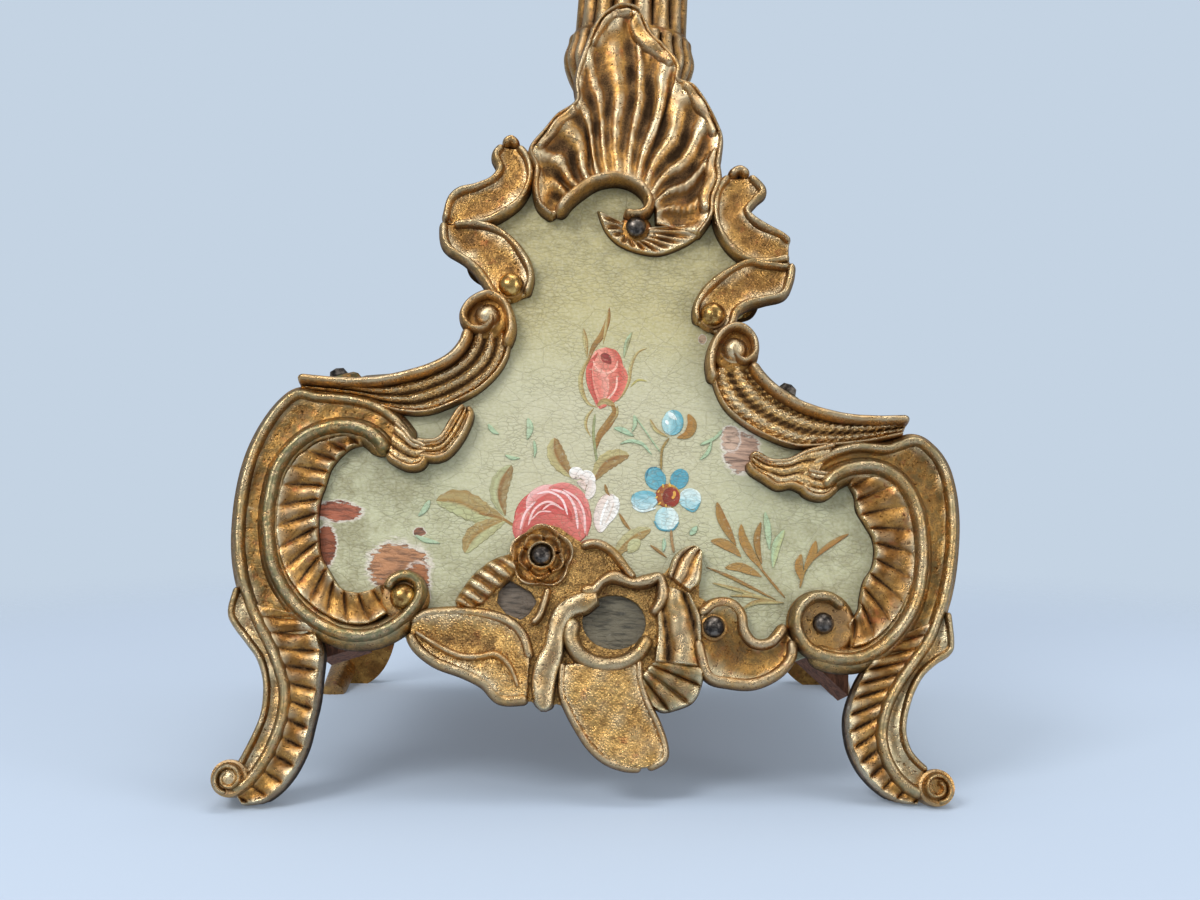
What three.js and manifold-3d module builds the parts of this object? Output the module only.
// Torchere candle stand. Two painted wooden boards lean together, front and back, and carry cast
// gilt bronze mounts: a shell, scrolls, shoulder leaves, a pierced apron and ribbed scroll legs.
// A reeded and fluted bronze stem stands on a block between the boards and holds a drip pan and a
// candle nozzle, all clamped by one tie rod.
//
// Millimetres, +Z up, the painted front towards -Y. The origin lies on the floor.
import * as THREE from 'three';
import { mergeVertices } from 'three/addons/utils/BufferGeometryUtils.js';
import Module from 'manifold-3d';

const wasm = await Module();
wasm.setup();

// ---------------------------------------------------------------- driving dimensions

// The face: u runs across a board and v up along it. Every outline is drawn at its real size on a
// face of the drawn width and height, and is stretched to the real ones.
const DRAWN_WIDTH = 188;
const DRAWN_HEIGHT = 222;
const FACE_WIDTH = 188; // across the scroll legs
const FACE_HEIGHT = 222; // floor to the top of the shell, along the board
const BASE_DEPTH = 166; // between the two faces at the floor
const BODY_TILT = 3.6; // degrees: the body and stem stand off plumb, the feet stand level
const CENTRE_X = -2.2; // shifts the stand so that its overall box is centred on the origin

// Wood
const BOARD_THICKNESS = 7;
const SIDE_BOARD_THICKNESS = 5;
const BOTTOM_BOARD_THICKNESS = 5;
const BOTTOM_BOARD_V = 56; // height of the bottom board's underside, drawn
const NECK_BLOCK_HEIGHT = 32;
const NECK_BLOCK_WIDTH = 38;
const CORNER_BLOCK_DEPTH = 16;

// Castings: heights above the board
const MOUNT_THICKNESS = 2; // thinnest stretch of a mount
const RIM_HEIGHT = 6; // rolled rims of the C-scrolls
const LEG_BACK = 5; // a leg's thickness behind the face
const TOE_RADIUS = 4.5;
const TOE_DEPTH = 24; // length of the rolled toe, front to back
const COQUILLE_RIBS = 9; // ribs inside a C-scroll
const LEG_RIBS = 7; // ribs down a leg
const SHELL_FLUTES = 9;

// Pins and screws
const PIN_HEAD_RADIUS = 3;
const PIN_HEAD_HEIGHT = 2.4;
const PIN_SHANK_RADIUS = 1;
const PIN_GRIP = 5; // length of a shank inside the board
const SEAT_HEIGHT = 3.2; // the flat under a pin's head, above the board
const CAP_EDGE = 1.6; // thickness of a shoulder cap along its edges
const CAP_RISE = 8.5; // and at mid-depth, where it swells
const CAP_PLATE_RADIUS = 6; // the round plate under a cap's screw
const CAP_SEAT = 9.8; // height of that plate above the side board

// Stem
const BULB_RADIUS = 20;
const BULB_GAP = 4.3; // between the bulb and the leaning faces
const BULB_V = 212; // height of the bulb's middle along the face, drawn
const STEM_RADIUS = 17;
const STEM_LENGTH = 118;
const STEM_FLUTES = 16;
const FLUTE_DEPTH = 1.5;
const KNOP_RADIUS = 19;
const KNOP_LENGTH = 26;
const PAN_RADIUS = 36;
const PAN_HEIGHT = 9;
const CANDLE_RADIUS = 11;
const SOCKET_DEPTH = 26;
const NOZZLE_WALL = 2;
const NOZZLE_FOOT = 8; // below the socket
const ROD_RADIUS = 2.5;
const NUT_RADIUS = 5;
const NUT_HEIGHT = 5;
const WASHER_RADIUS = 9;
const WASHER_THICKNESS = 1.5;

// Clearances
const GAP = 0.3; // between pieces that touch on the real object
const HOLE_CLEARANCE = 0.4; // round a pin's shank or the tie rod
const SLIVER = 0.2; // facets of a joined casting narrower than this are merged

// ---------------------------------------------------------------- frame of the leaning faces

const acrossScale = FACE_WIDTH / DRAWN_WIDTH;
const upScale = FACE_HEIGHT / DRAWN_HEIGHT;
const tilt = THREE.MathUtils.degToRad(BODY_TILT);
// The faces lean in until they just clear the bulb.
const lean = Math.asin((BASE_DEPTH / 2 - BULB_RADIUS - BULB_GAP) / (BULB_V * upScale));
const bulbZ = BULB_V * upScale * Math.cos(lean);

const point = ([u, v]) => new THREE.Vector2(u * acrossScale, v * upScale);

// Half the room between the two boards at a height z.
function halfRoom(z) {
  return BASE_DEPTH / 2 - z * Math.tan(lean) - (BOARD_THICKNESS + GAP) / Math.cos(lean);
}

// ---------------------------------------------------------------- solids

// A closed triangle mesh with merged vertices and no triangle that has lost its area.
function weld(geometry) {
  const bare = geometry.clone();
  for (const name of Object.keys(bare.attributes)) {
    if (name !== 'position') bare.deleteAttribute(name);
  }
  const merged = mergeVertices(bare, 5e-3);
  const faces = [];
  for (let i = 0; i < merged.index.count; i += 3) {
    const [a, b, c] = [0, 1, 2].map((k) => merged.index.getX(i + k));
    if (a !== b && b !== c && c !== a) faces.push(a, b, c);
  }
  merged.setIndex(faces);
  return merged;
}

function signedVolume(geometry) {
  const corner = [new THREE.Vector3(), new THREE.Vector3(), new THREE.Vector3()];
  let total = 0;
  for (let i = 0; i < geometry.index.count; i += 3) {
    corner.forEach((p, k) => {
      p.fromBufferAttribute(geometry.attributes.position, geometry.index.getX(i + k));
    });
    total += corner[0].dot(corner[1].clone().cross(corner[2])) / 6;
  }
  return total;
}

// Turns the faces round if they point inwards.
function outward(geometry) {
  const closed = weld(geometry);
  if (signedVolume(closed) < 0) closed.setIndex(Array.from(closed.index.array).reverse());
  return closed;
}

function toManifold(geometry) {
  const closed = outward(geometry);
  return new wasm.Manifold(new wasm.Mesh({
    numProp: 3,
    vertProperties: Float32Array.from(closed.attributes.position.array),
    triVerts: Uint32Array.from(closed.index.array),
  }));
}

function toGeometry(manifold) {
  const mesh = manifold.getMesh();
  const geometry = new THREE.BufferGeometry();
  geometry.setAttribute('position', new THREE.BufferAttribute(mesh.vertProperties, 3));
  geometry.setIndex(new THREE.BufferAttribute(mesh.triVerts, 1));
  return geometry;
}

const joined = (geometries) => geometries.map(toManifold).reduce((whole, next) => whole.add(next));

// Evenly spaced points on the smooth line through a few drawn ones.
function line(drawn, rows) {
  return new THREE.SplineCurve(drawn.map(point)).getSpacedPoints(rows);
}

// The same points moved sideways, to the left of the way the line runs.
function sidestep(points, distance) {
  return points.map((p, i) => {
    const ahead = points[Math.min(i + 1, points.length - 1)];
    const behind = points[Math.max(i - 1, 0)];
    const along = ahead.clone().sub(behind).normalize();
    const step = distance(i / (points.length - 1));
    return new THREE.Vector2(p.x - along.y * step, p.y + along.x * step);
  });
}

// Lines spread evenly from one edge line to the other.
function spread(left, right, columns) {
  const share = Array.from({ length: columns + 1 }, (_, j) => j / columns);
  return share.map((s) => left.map((p, i) => p.clone().lerp(right[i], s)));
}

// A flat-backed relief: a skin over several lines that run side by side, with a back and two ends.
// top(j, t) is the height of line j above the board and bottom(t) that of the back; t runs from 0
// to 1 along the lines. A closed relief is a ring.
function relief(lines, top, bottom = () => GAP, closed = false) {
  const rows = lines[0].length - 1;
  const perRow = lines.length + 2;
  const [first, last] = [lines[0], lines[lines.length - 1]];
  const positions = [];
  const faces = [];
  for (let i = 0; i <= rows; i += 1) {
    const t = i / rows;
    lines.forEach((points, j) => positions.push(points[i].x, points[i].y, top(j, t)));
    positions.push(last[i].x, last[i].y, bottom(t), first[i].x, first[i].y, bottom(t));
  }
  for (let i = 0; i < rows; i += 1) {
    const here = i * perRow;
    const next = closed && i === rows - 1 ? 0 : here + perRow;
    for (let j = 0; j < perRow; j += 1) {
      const k = (j + 1) % perRow;
      faces.push(here + j, here + k, next + k, here + j, next + k, next + j);
    }
  }
  for (let j = 1; j < perRow - 1 && !closed; j += 1) {
    const end = rows * perRow;
    faces.push(0, j + 1, j, end, end + j, end + j + 1);
  }
  const geometry = new THREE.BufferGeometry();
  geometry.setAttribute('position', new THREE.Float32BufferAttribute(positions, 3));
  geometry.setIndex(faces);
  geometry.userData.edges = [first, last];
  return geometry;
}

// A relief between two drawn edge lines, top(s, t) high: s runs across it and t along it.
function band(left, right, rows, columns, top) {
  return relief(spread(line(left, rows), line(right, rows), columns), (j, t) => top(j / columns, t));
}

// A rounded moulding along a line, drawn out to thin ends where taper is above 0.
function bead(drawn, rows, halfWidth, height, taper = 0) {
  const middle = line(drawn, rows);
  const width = (side) => (t) => side * halfWidth * (1 - taper * (2 * t - 1) ** 4);
  const crest = [MOUNT_THICKNESS, height, height, MOUNT_THICKNESS];
  const sides = [1, 0.45, -0.45, -1].map((side) => sidestep(middle, width(side)));
  return relief(sides, (j) => crest[j]);
}

// A turned solid about the w or z axis, from a profile of [radius, height] pairs.
function turned(profile, segments) {
  const outline = profile.map(([r, h]) => new THREE.Vector2(r, h));
  return new THREE.LatheGeometry(outline, segments).rotateX(Math.PI / 2);
}

function turnedAt(drawn, profile, segments) {
  const centre = point(drawn);
  return turned(profile, segments).translate(centre.x, centre.y, 0);
}

// A flat-backed button: the eye of a volute or the ground under a pin.
function button(centre, radius, height, crown = 0) {
  const profile = [[0, GAP], [radius, GAP], [radius, height - 0.8], [radius - 1, height],
    [0, height + crown]];
  const geometry = turnedAt(centre, profile, 8);
  geometry.userData.edges = [spot(centre, radius, 1), spot(centre, radius, -1)];
  return geometry;
}

// Half a circle's points, above its centre or, with a side of -1, below it.
function spot(centre, radius, side) {
  const { x, y } = point(centre);
  return new THREE.EllipseCurve(x, y, radius, radius, 0, side * Math.PI, side < 0).getPoints(8);
}

// ---------------------------------------------------------------- pins and castings

// What a pin needs cut away: room over its head's seat and a hole for its shank.
function pinRoom(centre) {
  const over = PIN_HEAD_RADIUS + HOLE_CLEARANCE;
  const hole = PIN_SHANK_RADIUS + HOLE_CLEARANCE;
  const top = SEAT_HEIGHT + 3 * PIN_HEAD_HEIGHT;
  return toManifold(turnedAt(centre,
    [[0, -1], [hole, -1], [hole, SEAT_HEIGHT], [over, SEAT_HEIGHT], [over, top], [0, top]], 7));
}

function pinGeometry(seat = SEAT_HEIGHT) {
  const under = seat + GAP;
  const shank = PIN_SHANK_RADIUS;
  const head = PIN_HEAD_RADIUS;
  return turned([[0, -PIN_GRIP], [shank, -PIN_GRIP], [shank, under], [head, under],
    [head * 0.75, under + PIN_HEAD_HEIGHT * 0.75], [0, under + PIN_HEAD_HEIGHT]], 7);
}

// A hole for a pin's or a screw's shank, from one height to another.
function shankHole(from, to) {
  const radius = PIN_SHANK_RADIUS + HOLE_CLEARANCE;
  return turned([[0, from], [radius, from], [radius, to], [0, to]], 8);
}

// The area that a casting covers, widened by the gap, as a tall cutter for its neighbours.
function roomFor(geometries) {
  const prisms = geometries.filter(({ userData }) => userData.edges).map(({ userData }) => {
    const [left, right] = userData.edges;
    const edges = [widened(left, right), widened(right, left)];
    return toManifold(relief(edges, () => 3 * RIM_HEIGHT, () => -1));
  });
  return prisms.reduce((whole, next) => whole.add(next));
}

// An edge line moved out from the opposite one, and lengthened at both ends.
function widened(edge, opposite) {
  const last = edge.length - 1;
  return edge.map((p, i) => {
    const moved = p.clone().add(p.clone().sub(opposite[i]).setLength(GAP));
    const inner = edge[i === 0 ? 1 : i - 1];
    return i === 0 || i === last ? moved.add(p.clone().sub(inner).setLength(GAP)) : moved;
  });
}

// One casting: its reliefs joined, with room cut for its pins and for its neighbours.
function casting(geometries, pins, cutters = []) {
  let whole = joined(geometries);
  for (const cutter of [...pins.map(pinRoom), ...cutters]) whole = whole.subtract(cutter);
  const pieces = toManifold(toGeometry(whole.simplify(SLIVER))).decompose();
  return pieces.reduce((a, b) => (b.volume() > a.volume() ? b : a));
}

// ---------------------------------------------------------------- outlines, drawn on the face

const SHELL = {
  pin: [4.5, 155],
  root: [[-21, 163], [-17, 166], [-13, 169], [-9, 172], [-4, 173.5], [2, 173], [6, 171], [9.5, 167],
    [10.5, 162]],
  edge: [[-24, 164], [-24, 170.5], [-26, 176], [-22.5, 182], [-13.5, 191.5], [-14.5, 197.5], [-14, 202],
    [-12, 211.5], [-9.5, 217], [-5, 222], [-1.8, 222.8], [1.5, 222], [3.5, 219], [6, 213.5], [13.5, 205],
    [14.5, 202.5], [14, 200.3], [18, 199], [22, 194], [25, 187.5], [27, 182], [26.7, 178], [26.2, 175],
    [26.7, 170], [25.2, 165]],
  lobeRoot: [[9.8, 166.5], [9.6, 160.5], [9.5, 157], [8, 153], [5, 151.5], [2, 152.5], [1, 156], [2, 160]],
  lobeEdge: [[24.6, 168], [25, 160], [21.5, 153.5], [16.5, 150], [11.5, 148], [6, 148], [0.5, 150],
    [-3.8, 154], [-5, 158], [-4, 162.5]],
  footRoot: [[-21, 163.5], [-18.5, 162], [-16.5, 160], [-15, 158]],
  footEdge: [[-24, 165], [-22.5, 160], [-20, 157], [-16.8, 156]],
  rim: [[-17, 157.5], [-15, 161], [-11.5, 164.5], [-7.5, 167.5], [-3, 169], [1.5, 168.8], [5.5, 166.8],
    [7.8, 163.3], [7, 160.3], [4, 159], [1, 159.5]],
};

const UPPER_SCROLL = {
  left: {
    pin: [-28.7, 135.7],
    upper: [[-34, 177.3], [-35.7, 174], [-34.2, 170], [-36.2, 166.5], [-40.5, 164], [-44.7, 162.5],
      [-47.2, 159.5], [-48.4, 153.5]],
    upperInner: [[-29.8, 177.3], [-26.7, 173], [-25.7, 168], [-27.7, 161.5], [-31.3, 158], [-35.8, 155],
      [-40.6, 153.3], [-46, 152.3]],
    lower: [[-48.6, 153.5], [-47.8, 148], [-46, 145], [-41.3, 142.3], [-37.5, 139], [-34.4, 135],
      [-32, 132],
      [-29, 130.5]],
    lowerInner: [[-45, 153], [-40, 153], [-35.3, 152.2], [-31.6, 150.4], [-28, 147], [-25, 143],
      [-23.5, 138.3], [-24.5, 133]],
  },
  right: {
    pin: [26.8, 130.8],
    upper: [[35.3, 172.6], [39, 168.6], [37, 165.4], [35, 162.3], [36.6, 159.6], [40.5, 157.2],
      [44.5, 155.5],
      [47.3, 153.3]],
    upperInner: [[29.8, 172.2], [27, 168], [26.3, 162], [27.6, 156], [30.8, 151.3], [35, 148],
      [40.6, 146.4],
      [47.5, 146]],
    lower: [[48, 147.5], [42.2, 147], [36.7, 146.7], [32.2, 144.7], [27.6, 141], [24.2, 137], [22.3, 132.7],
      [22.7, 128.4]],
    lowerInner: [[48.2, 144.8], [47.3, 142], [45.5, 138], [40.4, 136], [36, 134.5], [33, 132],
      [31.9, 128.7], [29.3, 125]],
  },
};

const SHOULDER_LEAF = {
  left: {
    moulding: [[-39, 122.5], [-40, 118], [-43, 114], [-48.7, 110.3], [-56, 107.6], [-64, 105.8], [-73, 105],
      [-83, 105.5]],
    lower: [[-28.4, 122.5], [-28.2, 117], [-30.2, 111.6], [-34.6, 106.3], [-41, 102], [-48.6, 98.8],
      [-56.6, 98.8], [-66, 101], [-74, 101.8], [-82.3, 102.3]],
    volute: [[-29.5, 118], [-28, 123.6], [-30, 129], [-34, 131.3], [-38, 130], [-39.5, 126.5],
      [-37.5, 123.6]],
    eye: [-34.5, 126],
  },
  right: {
    moulding: [[37.6, 117.7], [40.4, 114], [44.8, 110], [50.7, 106.8], [57.4, 104.8], [64, 103.8],
      [72, 103.8],
      [79.8, 104.8]],
    lower: [[27.3, 116.2], [28.6, 110.7], [31.5, 105.3], [36.5, 101.2], [42.7, 98], [50.5, 95.8],
      [59, 96.8],
      [68.5, 98.5], [79.3, 101.5]],
    volute: [[28.5, 111.8], [27.6, 117.3], [28.6, 122.5], [31.5, 126], [35, 126.2], [37.3, 123.6],
      [36.8, 120.2]],
    eye: [33, 121],
  },
};

// A scroll leg's lines run side by side: round the C from its upper inner end (strip, rim, root and
// edge of the ribbed coquille), round the volute (curl), and down the leg from the ear (cove, ridge,
// root and edge of its ribs). Below LEG_TOP they are stretched until the toe stands on the floor.
const LEG_TOP = 40;
const DRAWN_FLOOR = { left: -5.8, right: 5.5 };
const SCROLL_LEG = {
  left: {
    pin: [-49.7, 48.9],
    strip: [[-51.3, 90.3], [-56.3, 95], [-62.8, 97.5], [-70, 98.5], [-77, 99.3], [-82.5, 99.5], [-87, 96.5],
      [-91, 90], [-93.3, 81.3], [-94, 71.3], [-93.5, 61], [-91.7, 53], [-87.5, 46.5], [-81, 42.3],
      [-75, 39.2],
      [-69, 37.2], [-63.3, 35.6], [-56.8, 36], [-50.3, 38.8]],
    rim: [[-57.6, 86.4], [-59.8, 89.5], [-63.5, 92], [-69, 93], [-75, 91.8], [-79.8, 89], [-83.5, 84.7],
      [-86, 79.7], [-86.8, 73.7], [-86.8, 67.6], [-85.6, 60.6], [-83.5, 54.2], [-79.7, 48.2], [-74.8, 43.4],
      [-69.3, 40.2], [-63.3, 38.3], [-57, 38.7], [-51.6, 41.3]],
    root: [[-56, 85.2], [-59, 87.8], [-63.5, 90], [-69, 90.8], [-74.3, 89.4], [-79.2, 86], [-83, 81],
      [-84.8, 75], [-85, 68], [-84, 61.6], [-81.7, 55.2], [-78.2, 50], [-74, 45.8], [-69.2, 43],
      [-63.8, 41], [-58, 41.4],
      [-54, 43.5]],
    edge: [[-56, 84.6], [-60, 86.6], [-64.5, 88.3], [-68, 87.6], [-70, 84.8], [-72, 81.6], [-73, 77],
      [-73.8, 73], [-73.7, 67.5], [-73, 62.3], [-72, 58.4], [-69, 54.2], [-66.2, 50.7], [-63, 49.6],
      [-59.4, 50], [-55, 49.5]],
    curl: [[-57, 38.7], [-51.6, 41.3], [-47, 44.8], [-45, 49.5], [-47.2, 53.8], [-51.5, 54.2]],
    cove: [[-90.7, 47], [-93, 45], [-93.2, 42.6], [-91.5, 39.3], [-88, 35.5], [-84.4, 31.2], [-82.2, 25.8],
      [-81.6, 20.8], [-82, 16], [-83.8, 10.3], [-85.5, 5]],
    ridge: [[-88.8, 46.5], [-85.2, 39.3], [-81.4, 33.3], [-78.4, 27.2], [-77, 22.3], [-77, 16.6],
      [-78.4, 10.6], [-80.7, 5], [-84.5, 0.8]],
    ribRoot: [[-82, 43.5], [-79, 39], [-77.4, 33.5], [-76, 27.3], [-75.2, 21], [-75.5, 15.7], [-76.6, 10],
      [-78.5, 5], [-81, 0.8], [-84.3, -2]],
    ribEdge: [[-72, 39.6], [-69.6, 34], [-68.8, 28], [-68.8, 21.6], [-69.5, 16], [-70.3, 10.4],
      [-71.8, 5.7],
      [-73.8, 1.7], [-76.6, -2], [-80.5, -5], [-85.5, -6]],
    leafUpper: [[-61, 96.3], [-51, 91.3], [-47, 90], [-44, 91.3], [-41.2, 96.4], [-38, 100.8]],
    leafLower: [[-59, 89.6], [-57, 84.2], [-52.5, 83.4], [-47.5, 85], [-41, 88], [-38, 93], [-36.3, 99]],
    toe: -89,
  },
  right: {
    pin: [58.4, 48.8],
    strip: [[52.5, 86], [55, 90.5], [60.5, 94], [67, 95.8], [74, 97], [80, 98.5], [85.5, 96], [89.5, 91],
      [91.3, 84.6], [91.8, 76.6], [91.2, 67.3], [90, 59.4], [87.8, 52.5], [83, 46.3], [77.5, 41.8],
      [72, 38.4],
      [66, 36.8], [59.7, 37.2], [53.8, 39.5]],
    rim: [[57.2, 84.3], [60.8, 88], [65.8, 90.3], [71.8, 90.7], [77, 88.3], [80.8, 83.7], [83, 77.2],
      [83.7, 69.3], [83.2, 61.4], [81.2, 54.3], [77.6, 48.2], [72.5, 43], [67, 40.4], [60.6, 40.2],
      [55.2, 42.8]],
    root: [[58.6, 83], [62.5, 86.3], [67, 88.3], [71.5, 88.4], [75.4, 86.9], [79.2, 82.6], [81.2, 76.7],
      [82, 69.5], [81.5, 61.6], [79.5, 55], [75.4, 49], [70.8, 44.9], [66.5, 42.9], [61.4, 43], [57.4, 45]],
    edge: [[58.6, 82.4], [62, 84.6], [65.5, 84.5], [67.2, 79.4], [69.4, 75.3], [71, 72], [71.6, 68.3],
      [71, 64.3], [69, 60.8], [68, 56.3], [67.5, 53], [65.4, 50.7], [61, 50]],
    curl: [[60.6, 40.2], [55.2, 42.8], [52.8, 47.3], [54.2, 52.3], [58.8, 54.2]],
    cove: [[88.3, 50.5], [89.9, 48.4], [91.4, 46.2], [90.6, 43.6], [87.5, 41.4], [84, 38], [81.4, 33.4],
      [80, 28.8], [79.2, 24.6], [79.4, 21.4], [80.7, 18], [84, 14.5]],
    ridge: [[85.5, 47.5], [82.2, 41.2], [79, 36.4], [76, 31.5], [74.4, 26.7], [73.7, 21.7], [74.7, 16.8],
      [77, 12.6], [80.3, 10], [83, 9.8]],
    ribRoot: [[79.5, 44.5], [76.6, 38.6], [74.8, 33.4], [73, 29], [72, 24.8], [72.2, 20.4], [73.2, 16.3],
      [75.2, 12.7], [78.3, 9], [82.8, 7.3]],
    ribEdge: [[70.5, 40.2], [68.4, 34.5], [66, 29.4], [65, 25.4], [65.3, 21.2], [66.4, 17], [68.7, 12.8],
      [72, 9], [76, 6.2], [80, 5], [84, 5]],
    leafUpper: [[62.5, 94.8], [53.4, 93.8], [48.7, 91.3], [44, 90.7], [40, 92.4], [38.3, 91]],
    leafLower: [[61.3, 86.8], [57, 82.6], [52.5, 83.3], [49.7, 85], [45.7, 84.5], [42, 86.3], [38.8, 88.2]],
    toe: 87.3,
  },
};

const APRON = {
  pins: [[-15, 61.8], [30.4, 46.2]],
  plate: [[-47, 41], [-44.5, 37], [-38.5, 32.8], [-32, 31], [-26.7, 28.5], [-22.5, 25], [-19, 24.2],
    [-15, 24.7], [-11.8, 22.8], [-8.6, 24.5], [-6, 23.8], [-2.4, 18.7], [1.6, 14], [6.5, 11.2],
    [14, 10.4], [18, 11.8],
    [18.8, 14.7], [17, 20.5], [16.5, 24.5], [21.5, 25], [26.5, 28], [28.5, 33], [34, 33], [41.4, 33.2],
    [47.2, 36.5], [50.2, 41.6], [49, 47.5], [46.2, 43.5], [41, 42.6], [38, 46.5], [36.5, 50.5],
    [33.8, 52.5],
    [29.7, 52], [26.4, 54], [26.3, 59.4], [26.5, 64.5], [25, 67], [22, 66], [19.5, 63], [17.2, 59.5],
    [13.3, 59.2], [9.8, 58], [6, 61.5], [1.3, 64.6], [-3.7, 65.8], [-6.4, 67], [-10.8, 69.8], [-14.7, 70.6],
    [-19, 68.8], [-21.6, 65.2], [-23.4, 62], [-28, 59.9], [-32.7, 55.5], [-36, 49.7], [-35.5, 46.2],
    [-43.5, 44.7]],
  diamond: [[-23.2, 55.3], [-25.4, 52], [-25.6, 49.1], [-23, 46.4], [-19.3, 45.1], [-17.2, 46.6],
    [-15.4, 50], [-17, 52.3], [-20.6, 54.1]],
  oval: { centre: [4.8, 46], radii: [8.2, 7] },
  budUpper: [[-23, 61.9], [-27, 60.6], [-31, 57.5], [-33.8, 54], [-36.4, 49.5]],
  budLower: [[-22.5, 55.5], [-26, 50.5], [-28.5, 47.8], [-31.5, 46.9], [-35, 47]],
  leafUpper: [[-47, 42.6], [-43.5, 44.7], [-36, 46], [-28.3, 45.7], [-22.3, 44.2], [-18.4, 41],
    [-16.8, 35]],
  leafLower: [[-46.5, 40.2], [-44.6, 37], [-39.5, 33.5], [-32.9, 31.3], [-27.3, 29], [-22.7, 25.2],
    [-17.5, 24.8]],
  scrollOuter: [[0.2, 53.6], [-5, 53], [-10, 50], [-12.2, 45.6], [-13, 39.5], [-15, 34.3], [-15.4, 28.5],
    [-14.3, 24.5], [-12.6, 22.9]],
  scrollInner: [[1, 50.2], [-2, 47.5], [-5.5, 46], [-7.3, 42.3], [-7.4, 36.5], [-8.6, 31.2], [-9, 27],
    [-9.4, 24], [-11, 22.9]],
  ring: [[-6.8, 43.2], [-6.2, 39.2], [-3, 35.6], [1.9, 34.2], [6.8, 34.7], [11.5, 37.6], [14.6, 42]],
  crest: [[-3.5, 53.5], [0, 55.6], [3.5, 57], [8.8, 55.8], [12.8, 56.8], [15.6, 57], [16.3, 52.5],
    [14, 48.8]],
  ribbonLeaf: [[-6, 64.5], [-1, 65.2], [3, 63.3], [7, 58.8], [9.5, 56.9]],
  tongueLeft: [[-7.5, 34], [-7.3, 28], [-5.5, 23.8], [-2.6, 19.4], [1, 15], [5, 12], [10, 10.8],
    [12.5, 10.7]],
  tongueRight: [[12, 36], [12.2, 31.5], [14.2, 26], [16.6, 21.4], [18.4, 16.6], [18.7, 13.3], [17.2, 11.5],
    [15, 10.7]],
  scallopLeft: [[16.5, 48], [15.5, 42], [14, 35], [14.5, 29], [17, 24.8]],
  scallopRight: [[22, 51], [26.7, 48.5], [28, 38], [27.7, 31], [23.5, 25.8]],
  hookUpper: [[27.3, 49.6], [30, 51.6], [34, 52], [36.8, 49.8], [38.2, 45.5], [41, 42.4], [45.2, 43.2],
    [49, 47.5]],
  hookLower: [[27, 44], [27.2, 39], [29.8, 34.2], [35, 33], [41.2, 33.2], [46.5, 36], [49.8, 40],
    [50.2, 44.5]],
  flowerLeft: [[18.3, 59.5], [19.5, 63.3], [22.2, 66], [24, 66.6]],
  flowerRight: [[23.5, 55.3], [26, 57.5], [26.4, 61.5], [26, 66]],
};

const BOARD = [[-43, 36.5], [0, 36.5], [43, 36.5], [49, 40.5], [56, 41.2], [63, 41], [70, 43], [76.5, 48.5],
  [82, 55], [87, 63], [88, 76], [86, 87], [81, 94.5], [74, 98.5], [64, 100.8], [55, 102.8], [47, 106.2],
  [41, 110.5], [36.5, 115.5], [33, 121], [30.5, 126], [30.5, 131], [36, 136], [43, 139.5], [45.5, 147],
  [43, 153], [37, 157], [33, 162], [33.5, 168], [30, 171.5], [22, 176], [0, 179], [-22, 178], [-29, 174.5],
  [-32, 170], [-35, 165], [-43, 160.5], [-45.5, 153], [-43, 146], [-37, 141], [-32.5, 136], [-30, 131],
  [-34, 126], [-36.5, 119], [-41, 113.5], [-48, 109], [-56, 105.8], [-65, 103.8], [-76, 102.5], [-84, 98.5],
  [-89.5, 90], [-91.5, 81], [-92, 71], [-91.5, 61], [-88.5, 51.5], [-83, 46.5], [-76, 43.6], [-69, 40.8],
  [-62.5, 39.3], [-56.5, 39.8], [-50, 41.5]];

// The outer faces of the side boards, from the neck down to the belly's lower end.
const SIDE_LINE = {
  left: [[-25.5, 173], [-26, 158], [-26.5, 143], [-29, 130], [-35, 120], [-40.5, 113.5], [-47.5, 108.5],
    [-56, 105], [-65, 103], [-76, 101.5], [-83.5, 97.5], [-88.5, 89.5], [-90.5, 81], [-91, 71],
    [-90.5, 61], [-87.5, 52], [-82, 47]],
  right: [[25.5, 171], [25, 156], [25.5, 141], [28, 130], [33, 121], [37.5, 115.5], [42, 110.5],
    [48, 106], [56, 102.2], [64, 100.2], [73, 97.8], [80, 93.8], [85, 86.5], [87, 76], [86, 64],
    [81.5, 56], [76, 49.5]],
};
const SCREW_SHARE = { left: 0.634, right: 0.477 }; // how far down a side line its screw sits
const CAP_SHARE = { left: [0.36, 0.69], right: [0.395, 0.71] }; // and where its shoulder cap lies
const BLOCK_TOP = BOTTOM_BOARD_V - 0.5; // the corner blocks carry the bottom board
const CORNER_BLOCK = {
  left: [[-71, BLOCK_TOP], [-71, 38], [-70.5, 33], [-60, 37], [-60, BLOCK_TOP]],
  right: [[52.5, BLOCK_TOP], [52.5, 44], [67, 32], [67, BLOCK_TOP]],
};

// ---------------------------------------------------------------- castings of one face

const ribs = (count, depth) => (t) => depth * (0.5 - 0.5 * Math.cos(2 * Math.PI * count * t));
const arch = (s) => Math.sin(Math.PI * s);
const trough = (rim, ground) => (s) => ground + (rim - ground) * (2 * s - 1) ** 4;

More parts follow.
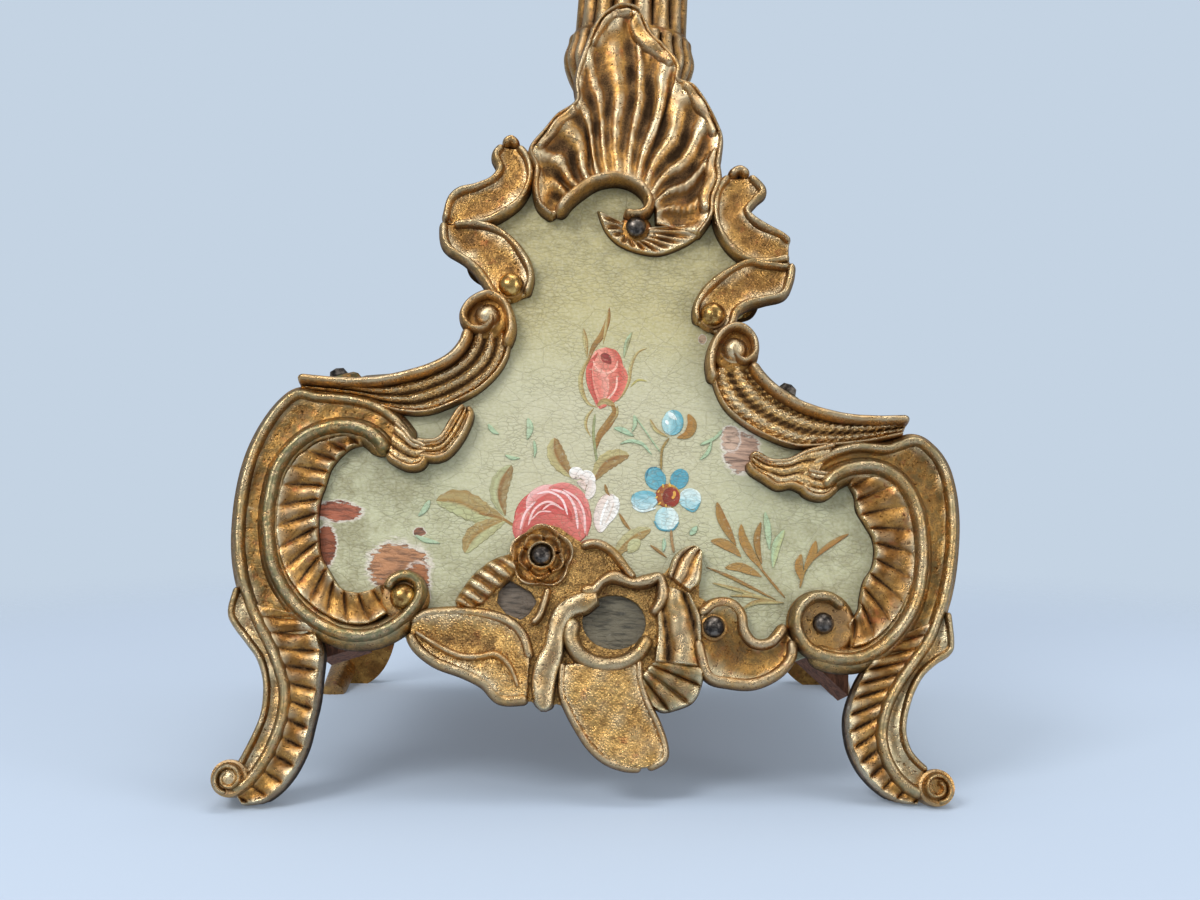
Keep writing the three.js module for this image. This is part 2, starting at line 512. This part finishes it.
// A fluted shell with a curled edge, a rolled rim round its root and a small lobe under it.
function shell() {
  const rows = 2 * SHELL_FLUTES;
  const flute = ribs(SHELL_FLUTES, 1.6);
  const lobeFlute = ribs(4, 0.9);
  return [
    band(SHELL.root, SHELL.edge, rows, 3, (s, t) => 3.2 - 1.2 * arch(s) + 3.2 * s ** 3 + flute(t) * s),
    band(SHELL.lobeRoot, SHELL.lobeEdge, 8, 1, (s, t) => 2.6 + lobeFlute(t) * s + s),
    band(SHELL.footRoot, SHELL.footEdge, 3, 1, (s) => 3 + 1.5 * s),
    bead(SHELL.rim, 7, 1.9, RIM_HEIGHT + 1, 0.3),
    button(SHELL.pin, PIN_HEAD_RADIUS + 1.5, SEAT_HEIGHT),
  ];
}

// Two curved troughs with rolled rims meet at the outer corner; the lower one takes the pin.
function upperScroll({ pin, upper, upperInner, lower, lowerInner }) {
  return [
    band(upper, upperInner, 5, 3, trough(5.2, 3)),
    band(lower, lowerInner, 5, 3, trough(5.2, 3)),
    button(pin, PIN_HEAD_RADIUS + 1, SEAT_HEIGHT),
  ];
}

// A rounded top moulding with a leaf of two long flutes hanging from it, and a volute.
function shoulderLeaf(side) {
  const { moulding, lower, volute, eye } = SHOULDER_LEAF[side];
  const sign = side === 'left' ? 1 : -1;
  const middle = line(moulding, 7);
  const across = (distance) => sidestep(middle, () => -sign * distance);
  const leaf = spread(across(-1.8), line(lower, 7), 4);
  const heights = [MOUNT_THICKNESS, RIM_HEIGHT + 0.5, RIM_HEIGHT + 0.5, 2.8, 4.3, 3, 4, 2.4];
  return [
    relief([across(1.8), across(0.8), across(-0.8), ...leaf], (j) => heights[j]),
    bead(volute, 5, 1.7, RIM_HEIGHT + 1, 0.3),
    button(eye, 4.6, RIM_HEIGHT - 1, 1.2),
  ];
}

// The v of the floor, on the face, below a drawn u.
const floorUnder = (u) => (u * acrossScale * Math.tan(tilt)) / Math.cos(lean) / upScale;

function scrollLeg(side) {
  const sign = side === 'left' ? 1 : -1;
  const drawn = SCROLL_LEG[side];
  const floorV = floorUnder(drawn.toe);
  const stretch = (LEG_TOP - floorV) / (LEG_TOP - DRAWN_FLOOR[side]);
  const down = (points) => points.map(([u, v]) => [u, v < LEG_TOP ? LEG_TOP - (LEG_TOP - v) * stretch : v]);
  const away = (points, distance) => sidestep(points, () => -sign * distance);
  // The acanthus leaf starts buried in the C's upper end and swells out of it.
  const swell = (t) => Math.min(1, 4 * t);
  const acanthus = (s, t) => 1.6 + swell(t) * (2 + 1.3 * Math.cos(2 * Math.PI * s) * (1 - t));
  return [
    scrollRelief(drawn, away),
    legRelief(drawn, down),
    bead(drawn.curl, 5, 1.9, RIM_HEIGHT, 0.3),
    band(drawn.leafUpper, drawn.leafLower, 5, 2, acanthus),
    button(drawn.pin, PIN_HEAD_RADIUS + 2.4, SEAT_HEIGHT),
    toe(drawn.toe, floorV),
    outerWall(line(down(drawn.cove), 5), away),
  ];
}

// The C: outer strip, channel, rim, and the coquille with its ribs, in one skin.
function scrollRelief(drawn, away) {
  const rows = 2 * COQUILLE_RIBS;
  const [strip, rim] = [line(drawn.strip, rows), line(drawn.rim, rows)];
  const [root, edge] = [line(drawn.root, rows), line(drawn.edge, rows)];
  const foot = away(rim, 1.8);
  const middle = root.map((p, i) => p.clone().lerp(edge[i], 0.5));
  const lines = [away(strip, 1.4), strip, foot, rim, root, middle, edge];
  const heights = [2.6, RIM_HEIGHT - 1.4, 2.2, RIM_HEIGHT, 3.4, 2.2, 3];
  const rib = ribs(COQUILLE_RIBS, 1);
  const share = [0, 0, 0, 0, 0.3, 0.7, 1];
  return relief(lines, (j, t) => heights[j] + share[j] * rib(t));
}

// The leg: outer cove, ridge and ribs, thicker at its back than the other castings.
function legRelief(drawn, down) {
  const rows = 2 * LEG_RIBS;
  const [cove, ridge] = [line(down(drawn.cove), rows), line(down(drawn.ridge), rows)];
  const [ribRoot, ribEdge] = [line(down(drawn.ribRoot), rows), line(down(drawn.ribEdge), rows)];
  const heights = [2.4, RIM_HEIGHT - 1.2, 2.2, 2.6];
  const rib = ribs(LEG_RIBS, 0.9);
  const share = [0, 0, 0.6, 1];
  const behind = (t) => (t < 0.1 ? GAP : -LEG_BACK);
  return relief([cove, ridge, ribRoot, ribEdge], (j, t) => heights[j] + share[j] * rib(t), behind);
}

// The rolled toe lies level, front to back, and stands on the floor.
function toe(u, floorV) {
  const front = RIM_HEIGHT - 1;
  const profile = [[0, front - TOE_DEPTH], [TOE_RADIUS, front - TOE_DEPTH], [TOE_RADIUS, front - 1],
    [TOE_RADIUS - 1, front], [0, front + 0.6]];
  const centre = point([u, floorV]);
  return turned(profile, 9).rotateX(lean).translate(centre.x, centre.y + 0.85 * TOE_RADIUS, 0);
}

// The leg's outer wall turns back, shallow at the ear and as deep as the toe at its foot.
function outerWall(cove, away) {
  const deep = TOE_DEPTH - RIM_HEIGHT + 1;
  const wall = relief([cove, away(cove, -1.8)], () => 2, (t) => -(GAP + (deep - GAP) * t * t));
  return wall.applyMatrix4(new THREE.Matrix4().makeShear(0, 0, 0, 0, 0, -Math.tan(lean)));
}

// A pierced plate carries the rose, bud, leaves, scrolls and the drooping tongue.
function apron() {
  const plate = new THREE.Shape(line([...APRON.plate, APRON.plate[0]], 42).slice(0, -1));
  const middle = point(APRON.oval.centre);
  const radii = point(APRON.oval.radii);
  const oval = new THREE.EllipseCurve(middle.x, middle.y, radii.x, radii.y, 0, 2 * Math.PI, false, 0.6);
  plate.holes.push(new THREE.Path(line([...APRON.diamond, APRON.diamond[0]], 8).slice(0, -1)));
  plate.holes.push(new THREE.Path(oval.getPoints(10).slice(0, -1)));
  const [rose, hook] = APRON.pins;
  const petals = ribs(5, 1.2);
  const scallop = ribs(3, 0.9);
  const roseHeights = [SEAT_HEIGHT, 4.2, 2.8];
  const cup = [0, PIN_HEAD_RADIUS + 1, 7.8].map((radius) => circle(rose, radius, 10));
  return [
    new THREE.ExtrudeGeometry(plate, { depth: MOUNT_THICKNESS, bevelEnabled: false }).translate(0, 0, GAP),
    relief(cup, (j, t) => roseHeights[j] + (petals(t) * j) / 2, undefined, true),
    band(APRON.budUpper, APRON.budLower, 3, 2, (s) => 3 + 2.2 * arch(s)),
    band(APRON.leafUpper, APRON.leafLower, 4, 3, trough(4.6, 3.2)),
    band(APRON.scrollOuter, APRON.scrollInner, 5, 3, trough(5.4, 3.6)),
    bead(APRON.ring, 5, 1.7, RIM_HEIGHT),
    bead(APRON.crest, 5, 1.5, 5),
    bead(APRON.ribbonLeaf, 3, 1.6, 4.4, 0.3),
    band(APRON.tongueLeft, APRON.tongueRight, 4, 3, trough(3.9, 2.8)),
    band(APRON.scallopLeft, APRON.scallopRight, 6, 1, (s, t) => 3.4 + scallop(t)),
    band(APRON.hookUpper, APRON.hookLower, 5, 3, trough(4.8, 3)),
    band(APRON.flowerLeft, APRON.flowerRight, 2, 2, (s) => 3 + 1.6 * arch(s)),
    button(hook, PIN_HEAD_RADIUS + 1, SEAT_HEIGHT),
  ];
}

function circle(centre, radius, steps) {
  const middle = point(centre);
  return new THREE.EllipseCurve(middle.x, middle.y, radius, radius).getPoints(steps);
}

// ---------------------------------------------------------------- wood between the two faces

// The outline [x, z] of a piece that fills the room between the boards, from front to back.
function between(outline) {
  const shape = new THREE.Shape(outline);
  const geometry = new THREE.ExtrudeGeometry(shape, { depth: 1, bevelEnabled: false });
  const position = geometry.attributes.position;
  for (let i = 0; i < position.count; i += 1) {
    const [x, z, end] = [position.getX(i), position.getY(i), position.getZ(i)];
    position.setXYZ(i, x, (2 * end - 1) * halfRoom(z), z);
  }
  return geometry;
}

// Drawn face points as [x, z] points at the boards' inner faces.
function inside(points) {
  const drop = (BOARD_THICKNESS + GAP) * Math.sin(lean);
  return points.map((p) => new THREE.Vector2(p.x, p.y * Math.cos(lean) - drop));
}

const SIDE_STEPS = 20;
const CAP_STEPS = 7;

const sideCurve = (side) => new THREE.SplineCurve(inside(SIDE_LINE[side].map(point)));

function sideLines(side) {
  const outer = sideCurve(side).getSpacedPoints(SIDE_STEPS);
  const inward = side === 'left' ? SIDE_BOARD_THICKNESS : -SIDE_BOARD_THICKNESS;
  return { outer, inner: sidestep(outer, () => inward) };
}

function sideBoard(side) {
  const { outer, inner } = sideLines(side);
  const hole = shankHole(-SIDE_BOARD_THICKNESS - 3, 4).applyMatrix4(screwFrame(side));
  return toManifold(between([...outer, ...inner.reverse()])).subtract(toManifold(hole));
}

// The width of the room inside the side boards at a height z.
function innerSide(side, z) {
  const { inner } = sideLines(side);
  const from = inner.findIndex((p, i) => i > SIDE_STEPS / 2 && p.y < z);
  const [a, b] = [inner[from - 1], inner[from]];
  return a.x + ((b.x - a.x) * (z - a.y)) / (b.y - a.y);
}

function bottomBoard() {
  const low = inside([point([0, BOTTOM_BOARD_V])])[0].y;
  const high = low + BOTTOM_BOARD_THICKNESS;
  const corner = (side, z, sign) => new THREE.Vector2(innerSide(side, z) + sign * GAP, z);
  const slant = [corner('left', low, 1), corner('right', low, -1), corner('right', high, -1),
    corner('left', high, 1)];
  return between(slant);
}

// At a share of the way down a side board: a point on it and the direction square to it.
function sideFrame(side, share) {
  const curve = sideCurve(side);
  const along = curve.getTangentAt(share);
  const sign = side === 'left' ? -1 : 1;
  return { at: curve.getPointAt(share), away: new THREE.Vector2(-along.y, along.x).multiplyScalar(sign) };
}

// Cap, screw and hole share this frame: on the side board, square to it, at mid-depth.
function screwFrame(side) {
  const { at, away } = sideFrame(side, SCREW_SHARE[side]);
  const normal = new THREE.Vector3(away.x, 0, away.y);
  const depth = new THREE.Vector3(0, 1, 0);
  const frame = new THREE.Matrix4().makeBasis(depth.clone().cross(normal), depth, normal);
  return frame.setPosition(at.x, 0, at.y);
}

// A cushion-shaped cap bent over the shoulder, from board to board, with a plate for its screw.
function shoulderCap(side) {
  const [from, to] = CAP_SHARE[side];
  const shares = [-1, -0.75, -0.4, 0, 0.4, 0.75, 1];
  const steps = Array.from({ length: CAP_STEPS + 1 }, (_, i) => i);
  const swell = (j, t) => (1 - shares[j] ** 2) * (1 - (2 * t - 1) ** 4);
  const cap = relief(shares.map((share) => steps.map((i) => new THREE.Vector2(i, share))),
    (j, t) => GAP + CAP_EDGE + (CAP_RISE - CAP_EDGE) * swell(j, t));
  const position = cap.attributes.position;
  for (let k = 0; k < position.count; k += 1) {
    const { at, away } = sideFrame(side, from + ((to - from) * position.getX(k)) / CAP_STEPS);
    const { x, y: z } = at.addScaledVector(away, position.getZ(k));
    position.setXYZ(k, x, position.getY(k) * halfRoom(z), z);
  }
  const radius = CAP_PLATE_RADIUS;
  const plate = turned([[0, CAP_EDGE], [1.5 * radius, CAP_EDGE], [radius, CAP_SEAT - 0.8],
    [0.8 * radius, CAP_SEAT], [0, CAP_SEAT]], 8);
  const hole = shankHole(-4, 2 * CAP_SEAT);
  const frame = screwFrame(side);
  return joined([cap, plate.applyMatrix4(frame)]).subtract(toManifold(hole.applyMatrix4(frame)));
}

const BULB_FOOT = 19; // length of the collar below the bulb's middle
const BULB_TOP = 9; // and above it
const bore = ROD_RADIUS + HOLE_CLEARANCE; // of every piece on the tie rod
const neckTop = bulbZ - BULB_FOOT - GAP;
const neckBottom = neckTop - NECK_BLOCK_HEIGHT;

function neckBlock() {
  const half = NECK_BLOCK_WIDTH / 2;
  const outline = [[-half, neckBottom], [half, neckBottom], [half, neckTop], [-half, neckTop]];
  const block = toManifold(between(outline.map(([x, z]) => new THREE.Vector2(x, z))));
  const [low, high] = [neckBottom - 1, neckTop + 1];
  const hole = turned([[0, low], [bore, low], [bore, high], [0, high]], 12);
  return block.subtract(toManifold(hole));
}

// ---------------------------------------------------------------- stem

// A sleeve round the rod whose outside is cut into flutes. The profile is [radius, height, depth of
// the flutes] from bottom to top.
function fluted(profile) {
  const steps = 2 * STEM_FLUTES;
  const ring = (radius, z, depth) => Array.from({ length: steps }, (_, k) => {
    const angle = (2 * Math.PI * k) / steps;
    const r = radius - depth * (0.5 + 0.5 * Math.cos(STEM_FLUTES * angle));
    return [r * Math.cos(angle), r * Math.sin(angle), z];
  });
  const [first, last] = [profile[0], profile[profile.length - 1]];
  const outside = profile.map(([r, z, d]) => ring(r, z, d));
  const rings = [...outside, ring(bore, last[1], 0), ring(bore, first[1], 0)];
  const faces = [];
  rings.forEach((_, i) => {
    const [low, high] = [i * steps, ((i + 1) % rings.length) * steps];
    for (let k = 0; k < steps; k += 1) {
      const n = (k + 1) % steps;
      faces.push(low + k, low + n, high + n, low + k, high + n, high + k);
    }
  });
  const geometry = new THREE.BufferGeometry();
  geometry.setAttribute('position', new THREE.Float32BufferAttribute(rings.flat(2), 3));
  geometry.setIndex(faces);
  return geometry;
}

const stemBottom = bulbZ + BULB_TOP + GAP;
const stemTop = stemBottom + STEM_LENGTH;
const knopBottom = stemTop + GAP;
const panBottom = knopBottom + KNOP_LENGTH + GAP;
const nozzleBottom = panBottom + 3 + GAP;
const rodTop = nozzleBottom + NOZZLE_FOOT;

const collar = () => fluted([
  [BULB_RADIUS - 3, bulbZ - BULB_FOOT, 0], [BULB_RADIUS - 3, bulbZ - 16.5, 0],
  [BULB_RADIUS - 6, bulbZ - 14, 0.4], [BULB_RADIUS - 1.6, bulbZ - 5, FLUTE_DEPTH],
  [BULB_RADIUS, bulbZ, FLUTE_DEPTH], [STEM_RADIUS - 0.4, bulbZ + BULB_TOP, 1],
]);

const stem = () => fluted([
  [STEM_RADIUS, stemBottom, FLUTE_DEPTH],
  [STEM_RADIUS * 0.8, stemBottom + STEM_LENGTH * 0.85, FLUTE_DEPTH],
  [STEM_RADIUS * 0.85, stemTop, FLUTE_DEPTH],
]);

// A ring-shaped turned piece: the profile closes on itself round the rod's hole.
function turnedRing(profile, segments) {
  return turned([...profile, profile[0]], segments);
}

const knop = () => turnedRing([
  [bore, knopBottom], [STEM_RADIUS, knopBottom], [STEM_RADIUS, knopBottom + 2], [11, knopBottom + 4.5],
  [KNOP_RADIUS - 2, knopBottom + 9], [KNOP_RADIUS, knopBottom + 13], [KNOP_RADIUS - 3, knopBottom + 18],
  [10, knopBottom + KNOP_LENGTH - 3], [13, knopBottom + KNOP_LENGTH], [bore, knopBottom + KNOP_LENGTH],
], 16);

const dripPan = () => turnedRing([
  [bore, panBottom], [12, panBottom], [PAN_RADIUS * 0.7, panBottom + 1.5],
  [PAN_RADIUS, panBottom + PAN_HEIGHT - 2], [PAN_RADIUS - 1, panBottom + PAN_HEIGHT],
  [PAN_RADIUS * 0.7, panBottom + 4], [14, panBottom + 3], [bore, panBottom + 3],
], 20);

function nozzle() {
  const outside = CANDLE_RADIUS + NOZZLE_WALL;
  const ledge = nozzleBottom + NOZZLE_FOOT;
  const mouth = ledge + SOCKET_DEPTH;
  return turnedRing([[bore, nozzleBottom], [12, nozzleBottom], [8, nozzleBottom + 4], [outside, ledge],
    [outside - 0.5, mouth - 5], [outside + 3, mouth - 2], [outside + 3, mouth],
    [CANDLE_RADIUS, mouth], [CANDLE_RADIUS, ledge + 1], [bore, ledge + 1]], 16);
}

const washerTop = neckBottom - GAP;
const nutTop = washerTop - WASHER_THICKNESS - GAP;

const nutBottom = nutTop - NUT_HEIGHT;
const rodEnd = nutBottom - 4;

// A flat ring on the tie rod, from one height to another.
function ringOnRod(radius, low, high, segments) {
  return turnedRing([[bore, low], [radius, low], [radius, high], [bore, high]], segments);
}

const washer = () => ringOnRod(WASHER_RADIUS, washerTop - WASHER_THICKNESS, washerTop, 12);
const nut = () => ringOnRod(NUT_RADIUS, nutBottom, nutTop, 6);
const tieRod = () => turned([[0, rodEnd], [ROD_RADIUS, rodEnd], [ROD_RADIUS, rodTop], [0, rodTop]], 10);

// ---------------------------------------------------------------- the scene

function finish(color, roughness, metalness) {
  return new THREE.MeshStandardMaterial({ color, roughness, metalness });
}

const GILT = finish(0xa8843c, 0.38, 1);
const PAINT = finish(0xb9ba96, 0.6, 0);
const RAW_WOOD = finish(0x7a4a32, 0.8, 0);
const BRASS = finish(0xb8934a, 0.3, 1);
const STEEL = finish(0x4c4a4a, 0.35, 1);

const body = new THREE.Group(); // everything that stands off plumb together
body.rotation.y = tilt;
body.position.x = CENTRE_X;

function add(parent, name, shape, material) {
  const geometry = shape.isBufferGeometry ? outward(shape) : toGeometry(shape);
  const mesh = new THREE.Mesh(geometry, material);
  mesh.name = name;
  parent.add(mesh);
  return mesh;
}

// A face group's own x, y and z are u, v and the height above the board.
function faceGroup(mirrored) {
  const group = new THREE.Group();
  group.rotation.x = Math.PI / 2 - lean;
  group.position.y = -BASE_DEPTH / 2;
  const side = new THREE.Group();
  side.scale.y = mirrored ? -1 : 1;
  side.add(group);
  body.add(side);
  return group;
}

// The floor as a cutter in a face's own frame, so that the feet stand flat.
function floorCutter(face) {
  const slab = new THREE.BoxGeometry(3 * FACE_WIDTH, 3 * BASE_DEPTH, 40).translate(0, 0, -20);
  body.updateMatrixWorld(true);
  return toManifold(slab.applyMatrix4(face.matrixWorld.clone().invert()));
}

const front = faceGroup(false);
const back = faceGroup(true);
const floor = floorCutter(front);

const legs = { left: scrollLeg('left'), right: scrollLeg('right') };
const leaves = { left: shoulderLeaf('left'), right: shoulderLeaf('right') };
const leafRooms = { left: roomFor(leaves.left), right: roomFor(leaves.right) };
const shellRoom = roomFor(shell());

function upperScrollCasting(side) {
  return casting(upperScroll(UPPER_SCROLL[side]), [UPPER_SCROLL[side].pin], [shellRoom, leafRooms[side]]);
}

function legCasting(side) {
  return casting(legs[side], [SCROLL_LEG[side].pin], [floor, leafRooms[side]]);
}

const castings = {
  shell: casting(shell(), [SHELL.pin]),
  upper_scroll_left: upperScrollCasting('left'),
  upper_scroll_right: upperScrollCasting('right'),
  shoulder_leaf_left: casting(leaves.left, []),
  shoulder_leaf_right: casting(leaves.right, []),
  scroll_leg_left: legCasting('left'),
  scroll_leg_right: legCasting('right'),
  apron: casting(apron(), APRON.pins, [roomFor(legs.left), roomFor(legs.right)]),
};

const pins = {
  shell_pin: [SHELL.pin, STEEL],
  upper_scroll_pin_left: [UPPER_SCROLL.left.pin, BRASS],
  upper_scroll_pin_right: [UPPER_SCROLL.right.pin, BRASS],
  scroll_pin_left: [SCROLL_LEG.left.pin, BRASS],
  scroll_pin_right: [SCROLL_LEG.right.pin, STEEL],
  rose_pin: [APRON.pins[0], STEEL],
  apron_pin: [APRON.pins[1], STEEL],
};

function board() {
  const outline = new THREE.Shape(line([...BOARD, BOARD[0]], 52).slice(0, -1));
  for (const [centre] of Object.values(pins)) {
    outline.holes.push(new THREE.Path(circle(centre, PIN_SHANK_RADIUS + HOLE_CLEARANCE, 5).slice(0, -1)));
  }
  return new THREE.ExtrudeGeometry(outline, { depth: BOARD_THICKNESS, bevelEnabled: false })
    .translate(0, 0, -BOARD_THICKNESS);
}

function cornerBlock(side) {
  const outline = new THREE.Shape(CORNER_BLOCK[side].map(point));
  return new THREE.ExtrudeGeometry(outline, { depth: CORNER_BLOCK_DEPTH, bevelEnabled: false })
    .translate(0, 0, -BOARD_THICKNESS - GAP - CORNER_BLOCK_DEPTH);
}

for (const [name, face] of [['front', front], ['back', back]]) {
  add(face, `${name}_board`, board(), PAINT);
  for (const [part, solid] of Object.entries(castings)) add(face, `${name}_${part}`, solid, GILT);
  for (const [part, [centre, material]] of Object.entries(pins)) {
    const at = point(centre);
    add(face, `${name}_${part}`, pinGeometry().translate(at.x, at.y, 0), material);
  }
  for (const side of ['left', 'right']) {
    add(face, `${name}_corner_block_${side}`, cornerBlock(side), RAW_WOOD);
  }
}

for (const side of ['left', 'right']) {
  add(body, `side_board_${side}`, sideBoard(side), PAINT);
  add(body, `shoulder_cap_${side}`, shoulderCap(side), GILT);
  add(body, `shoulder_screw_${side}`, pinGeometry(CAP_SEAT).applyMatrix4(screwFrame(side)), STEEL);
}
add(body, 'bottom_board', bottomBoard(), RAW_WOOD);
add(body, 'neck_block', neckBlock(), RAW_WOOD);
add(body, 'stem_collar', collar(), GILT);
add(body, 'fluted_stem', stem(), GILT);
add(body, 'knop', knop(), GILT);
add(body, 'drip_pan', dripPan(), GILT);
add(body, 'candle_nozzle', nozzle(), GILT);
add(body, 'tie_rod', tieRod(), STEEL);
add(body, 'tie_washer', washer(), STEEL);
add(body, 'tie_nut', nut(), STEEL);

const group = new THREE.Group();
group.add(body);

export default group;
